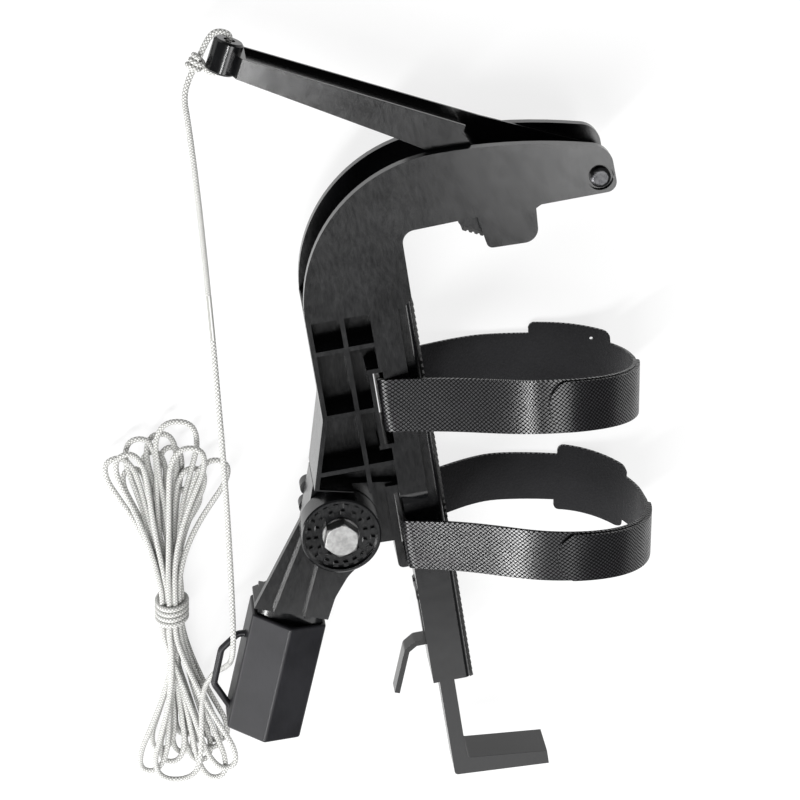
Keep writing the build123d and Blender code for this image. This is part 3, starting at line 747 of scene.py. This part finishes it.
def webbing():
    """Black webbing whose thread tops are glossy."""
    finish = Finish("woven_webbing", Specular_IOR_Level=0.08, Coat_Roughness=0.26)
    along, across = finish.along("weave")
    rise = math.pi / WEAVE_PITCH
    slant = along * WEAVE_SLANT
    left = ((slant + across) * rise).sine().size()
    right = ((slant - across) * rise).sine().size()
    lozenge = left * right
    rib = (along * (rise * 4)).sine() * 0.5 + 0.5
    thread = lozenge * 0.85 + rib * lozenge * 0.15
    worn = finish.noise(0.009, 3.0)
    top = thread.between(0.15, 0.8) * (0.75 + worn * 0.4)
    # The near black between the threads is painted shade in the weave's gaps; the tops' grey,
    # varied by wear, is the webbing's own.
    finish.feed("Base Color", finish.mix(
        top, (0.0012, 0.0012, 0.0015, 1), (0.016, 0.016, 0.018, 1)
    ))
    finish.feed("Roughness", 0.75 - lozenge * 0.2)
    finish.feed("Coat Weight", thread.between(0.2, 0.42) * (0.75 + worn * 0.5))
    finish.bump(thread, 0.00005)
    return finish.material


def pile():
    """The dull, fuzzy inside of a strap."""
    finish = Finish("loop_pile", Roughness=0.95, Specular_IOR_Level=0.1, Sheen_Weight=0.15)
    fuzz = finish.noise(0.0009, 4.0, 0.7)
    patch = finish.noise(0.012, 2.0)
    finish.feed("Base Color", finish.mix(
        fuzz * 0.7 + patch * 0.3, (0.006, 0.006, 0.0065, 1), (0.028, 0.028, 0.030, 1)
    ))
    finish.bump(fuzz, 0.0005, 0.8)
    return finish.material


webbing_finish = webbing()
pile_finish = pile()
print("strap finishes", webbing_finish.name, pile_finish.name)

# %% [markdown]
# The map is measured on the strap itself. Seen along its height the hoop is an oval, so the
# farthest corner of the mesh in each direction from the middle gives the oval's outline, and
# adding up its sides gives the distance round. Faces that look towards the middle are the inside.


# %% Strap helper
SECTORS = 120
OFF_CENTRE = 4 * MM
LEAST_REACH = 20 * MM
BAND_CURVE, BAND_TWIST = 1.1, -0.06
STRAP_EDGE = 0.35


def farthest_in_sectors(corners, middle):
    """Angle and reach of the farthest corner in each direction from the middle."""
    reach = [0.0] * SECTORS
    for corner in corners:
        spoke = Vector((corner.x - middle.x, corner.z - middle.y))
        share = (math.atan2(spoke.y, spoke.x) + math.pi) / (2 * math.pi)
        sector = int(share * SECTORS) % SECTORS
        reach[sector] = max(reach[sector], spoke.length)
    outline = []
    for sector, radius in enumerate(reach):
        if radius > LEAST_REACH:
            angle = (sector + 0.5) / SECTORS * 2 * math.pi - math.pi
            outline.append((angle, radius))
    return outline


def woven(node, name):
    """A softened copy of a strap, with its map, its woven outside and its piled inside."""
    piece = copy_of(node, name)
    corners = [vertex.co for vertex in piece.data.vertices]
    low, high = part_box(node)
    middle = Vector(((low[0] + high[0]) / 2 + OFF_CENTRE, (low[2] + high[2]) / 2))
    outline = farthest_in_sectors(corners, middle)
    around = [(outline[0][0], 0.0)]
    for (angle, radius), (further, next_radius) in zip(outline, outline[1:]):
        start = Vector((math.cos(angle), math.sin(angle))) * radius
        end = Vector((math.cos(further), math.sin(further))) * next_radius
        around.append((further, around[-1][1] + (end - start).length))

    def distance(angle):
        for (before, low_sum), (after, high_sum) in zip(around, around[1:]):
            if before <= angle <= after:
                return low_sum + (high_sum - low_sum) * (angle - before) / (after - before)
        return 0.0 if angle < 0 else around[-1][1]

    layer = piece.data.uv_layers.new(name="weave")
    for face in piece.data.polygons:
        for loop in face.loop_indices:
            corner = corners[piece.data.loops[loop].vertex_index]
            angle = math.atan2(corner.z - middle.y, corner.x - middle.x)
            drop = (corner.x - low[0]) ** 2 * BAND_CURVE + (corner.z - middle.y) * BAND_TWIST
            layer.data[loop].uv = (distance(angle), corner.y + drop)
    pick(piece)
    round_edges(piece, STRAP_EDGE, sharp=40)
    piece.data.materials.clear()
    piece.data.materials.append(webbing_finish)
    piece.data.materials.append(pile_finish)
    for face in piece.data.polygons:
        spoke = Vector((face.center.x - middle.x, 0.0, face.center.z - middle.y))
        if face.normal.dot(spoke.normalized()) < -0.5:
            face.material_index = 1
    even_shading(piece, smooth=35)
    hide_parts(node)
    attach(piece, "head")
    print(name, "round", round(around[-1][1], 3), "m, faces", len(piece.data.polygons))


woven("upper_strap", "upper_webbing")
woven("lower_strap", "lower_webbing")

# %% [markdown]
# ## The floor
#
# The tool lies on a white table, which shows a faint soft shadow. Most of what the camera and the
# glosses see of it is its own even white, mixed over the lit surface, so that the shadow stays
# light and the black parts keep a white surround.


# %% Floor
FLOOR_GLOW = 0.8
FLOOR_SIZE = 8.0
FLOOR_DROP = 0.0004
floor_finish = Finish("white_floor", Base_Color=(0.86, 0.86, 0.86, 1), Roughness=0.9)
glow = floor_finish.node("ShaderNodeEmission", inputs={"Strength": 1.0})
surface_out = Wire(floor_finish, floor_finish.surface.outputs[0])
lifted = floor_finish.node("ShaderNodeMixShader", inputs={
    0: floor_finish.plainly_seen() * FLOOR_GLOW, 1: surface_out, 2: glow,
})
floor_out = floor_finish.tree.nodes["Material Output"].inputs["Surface"]
floor_finish.tree.links.new(lifted.socket, floor_out)

bpy.ops.mesh.primitive_plane_add(size=FLOOR_SIZE, location=(0, 0, -FLOOR_DROP))
floor = bpy.context.object
floor.name = "floor"
floor.data.materials.append(floor_finish.material)
print("floor", floor.name)

# %% [markdown]
# ## The surroundings
#
# What lies past the floor is white where the camera looks at it, also through a clear thing. Its
# light on the parts is weaker, so that the lamps model them, and weaker still in their glosses,
# because black plastic in an even white room looks grey all over.

# %% World
WHITE = (1, 1, 1, 1)
ROOM_LIGHT = 0.36
ROOM_IN_GLOSS = 0.14
world = bpy.data.worlds.new("studio")
bpy.context.scene.world = world
world.use_nodes = True
sky = Graph(world.node_tree)
dim = sky.tree.nodes["Background"]
dim.inputs["Color"].default_value = WHITE
dim.inputs["Strength"].default_value = ROOM_LIGHT
in_gloss = sky.node("ShaderNodeBackground", inputs={"Color": WHITE, "Strength": ROOM_IN_GLOSS})
bright = sky.node("ShaderNodeBackground", inputs={"Color": WHITE, "Strength": 1.0})
glossy = sky.node("ShaderNodeLightPath", output="Is Glossy Ray")
camera_ray = sky.node("ShaderNodeLightPath", output="Is Camera Ray")
through = sky.node("ShaderNodeLightPath", output="Is Transmission Ray")
dim_out = Wire(sky, dim.outputs[0])
mirrored = sky.node("ShaderNodeMixShader", inputs={0: glossy, 1: dim_out, 2: in_gloss})
straight = camera_ray.maths("MAXIMUM", camera_ray, through)
chosen = sky.node("ShaderNodeMixShader", inputs={0: straight, 1: mirrored, 2: bright})
sky.tree.links.new(chosen.socket, sky.tree.nodes["World Output"].inputs["Surface"])
print("world", world.name)

# %% [markdown]
# ## The lamps
#
# Black gloss shows the shapes of its lamps more than their light, so there are four soft boxes.
# One overhead, towards the front, brightens the nose of the frame. A long narrow one gives the
# straps their bands of sheen. A large low one behind the frame's back whitens its sloping walls,
# and a wide weak one past the foot lights what faces the pole's end.


# %% Lamps
def softbox(name, where, target, size, watts):
    """A rectangular soft lamp that faces a target, in metres."""
    lamp = bpy.data.lights.new(name, "AREA")
    lamp.shape = "RECTANGLE"
    lamp.size, lamp.size_y = size
    lamp.energy = watts
    holder = bpy.data.objects.new(name, lamp)
    holder.location = where
    aim = Vector(target) - Vector(where)
    holder.rotation_euler = aim.to_track_quat("-Z", "Y").to_euler()
    bpy.context.collection.objects.link(holder)


# name, place, what it faces, width and height, watts
LAMPS = [
    ("overhead", (0.44, -0.32, 1.25), (0.08, 0.08, 0.0), (0.42, 0.5), 5.4),
    ("strip", (-0.53, -0.40, 1.20), (0.053, -0.05, 0.077), (0.11, 1.2), 22.0),
    ("behind_back", (-1.1, -0.35, 0.35), (0.0, 0.0, 0.03), (0.9, 0.5), 12.0),
    ("at_foot", (0.0, -0.87, 1.1), (0.0, -0.1, 0.03), (0.9, 0.4), 3.0),
]
for lamp_row in LAMPS:
    softbox(*lamp_row)
bpy.context.scene.view_settings.view_transform = "Standard"
print("lamps", len(LAMPS))
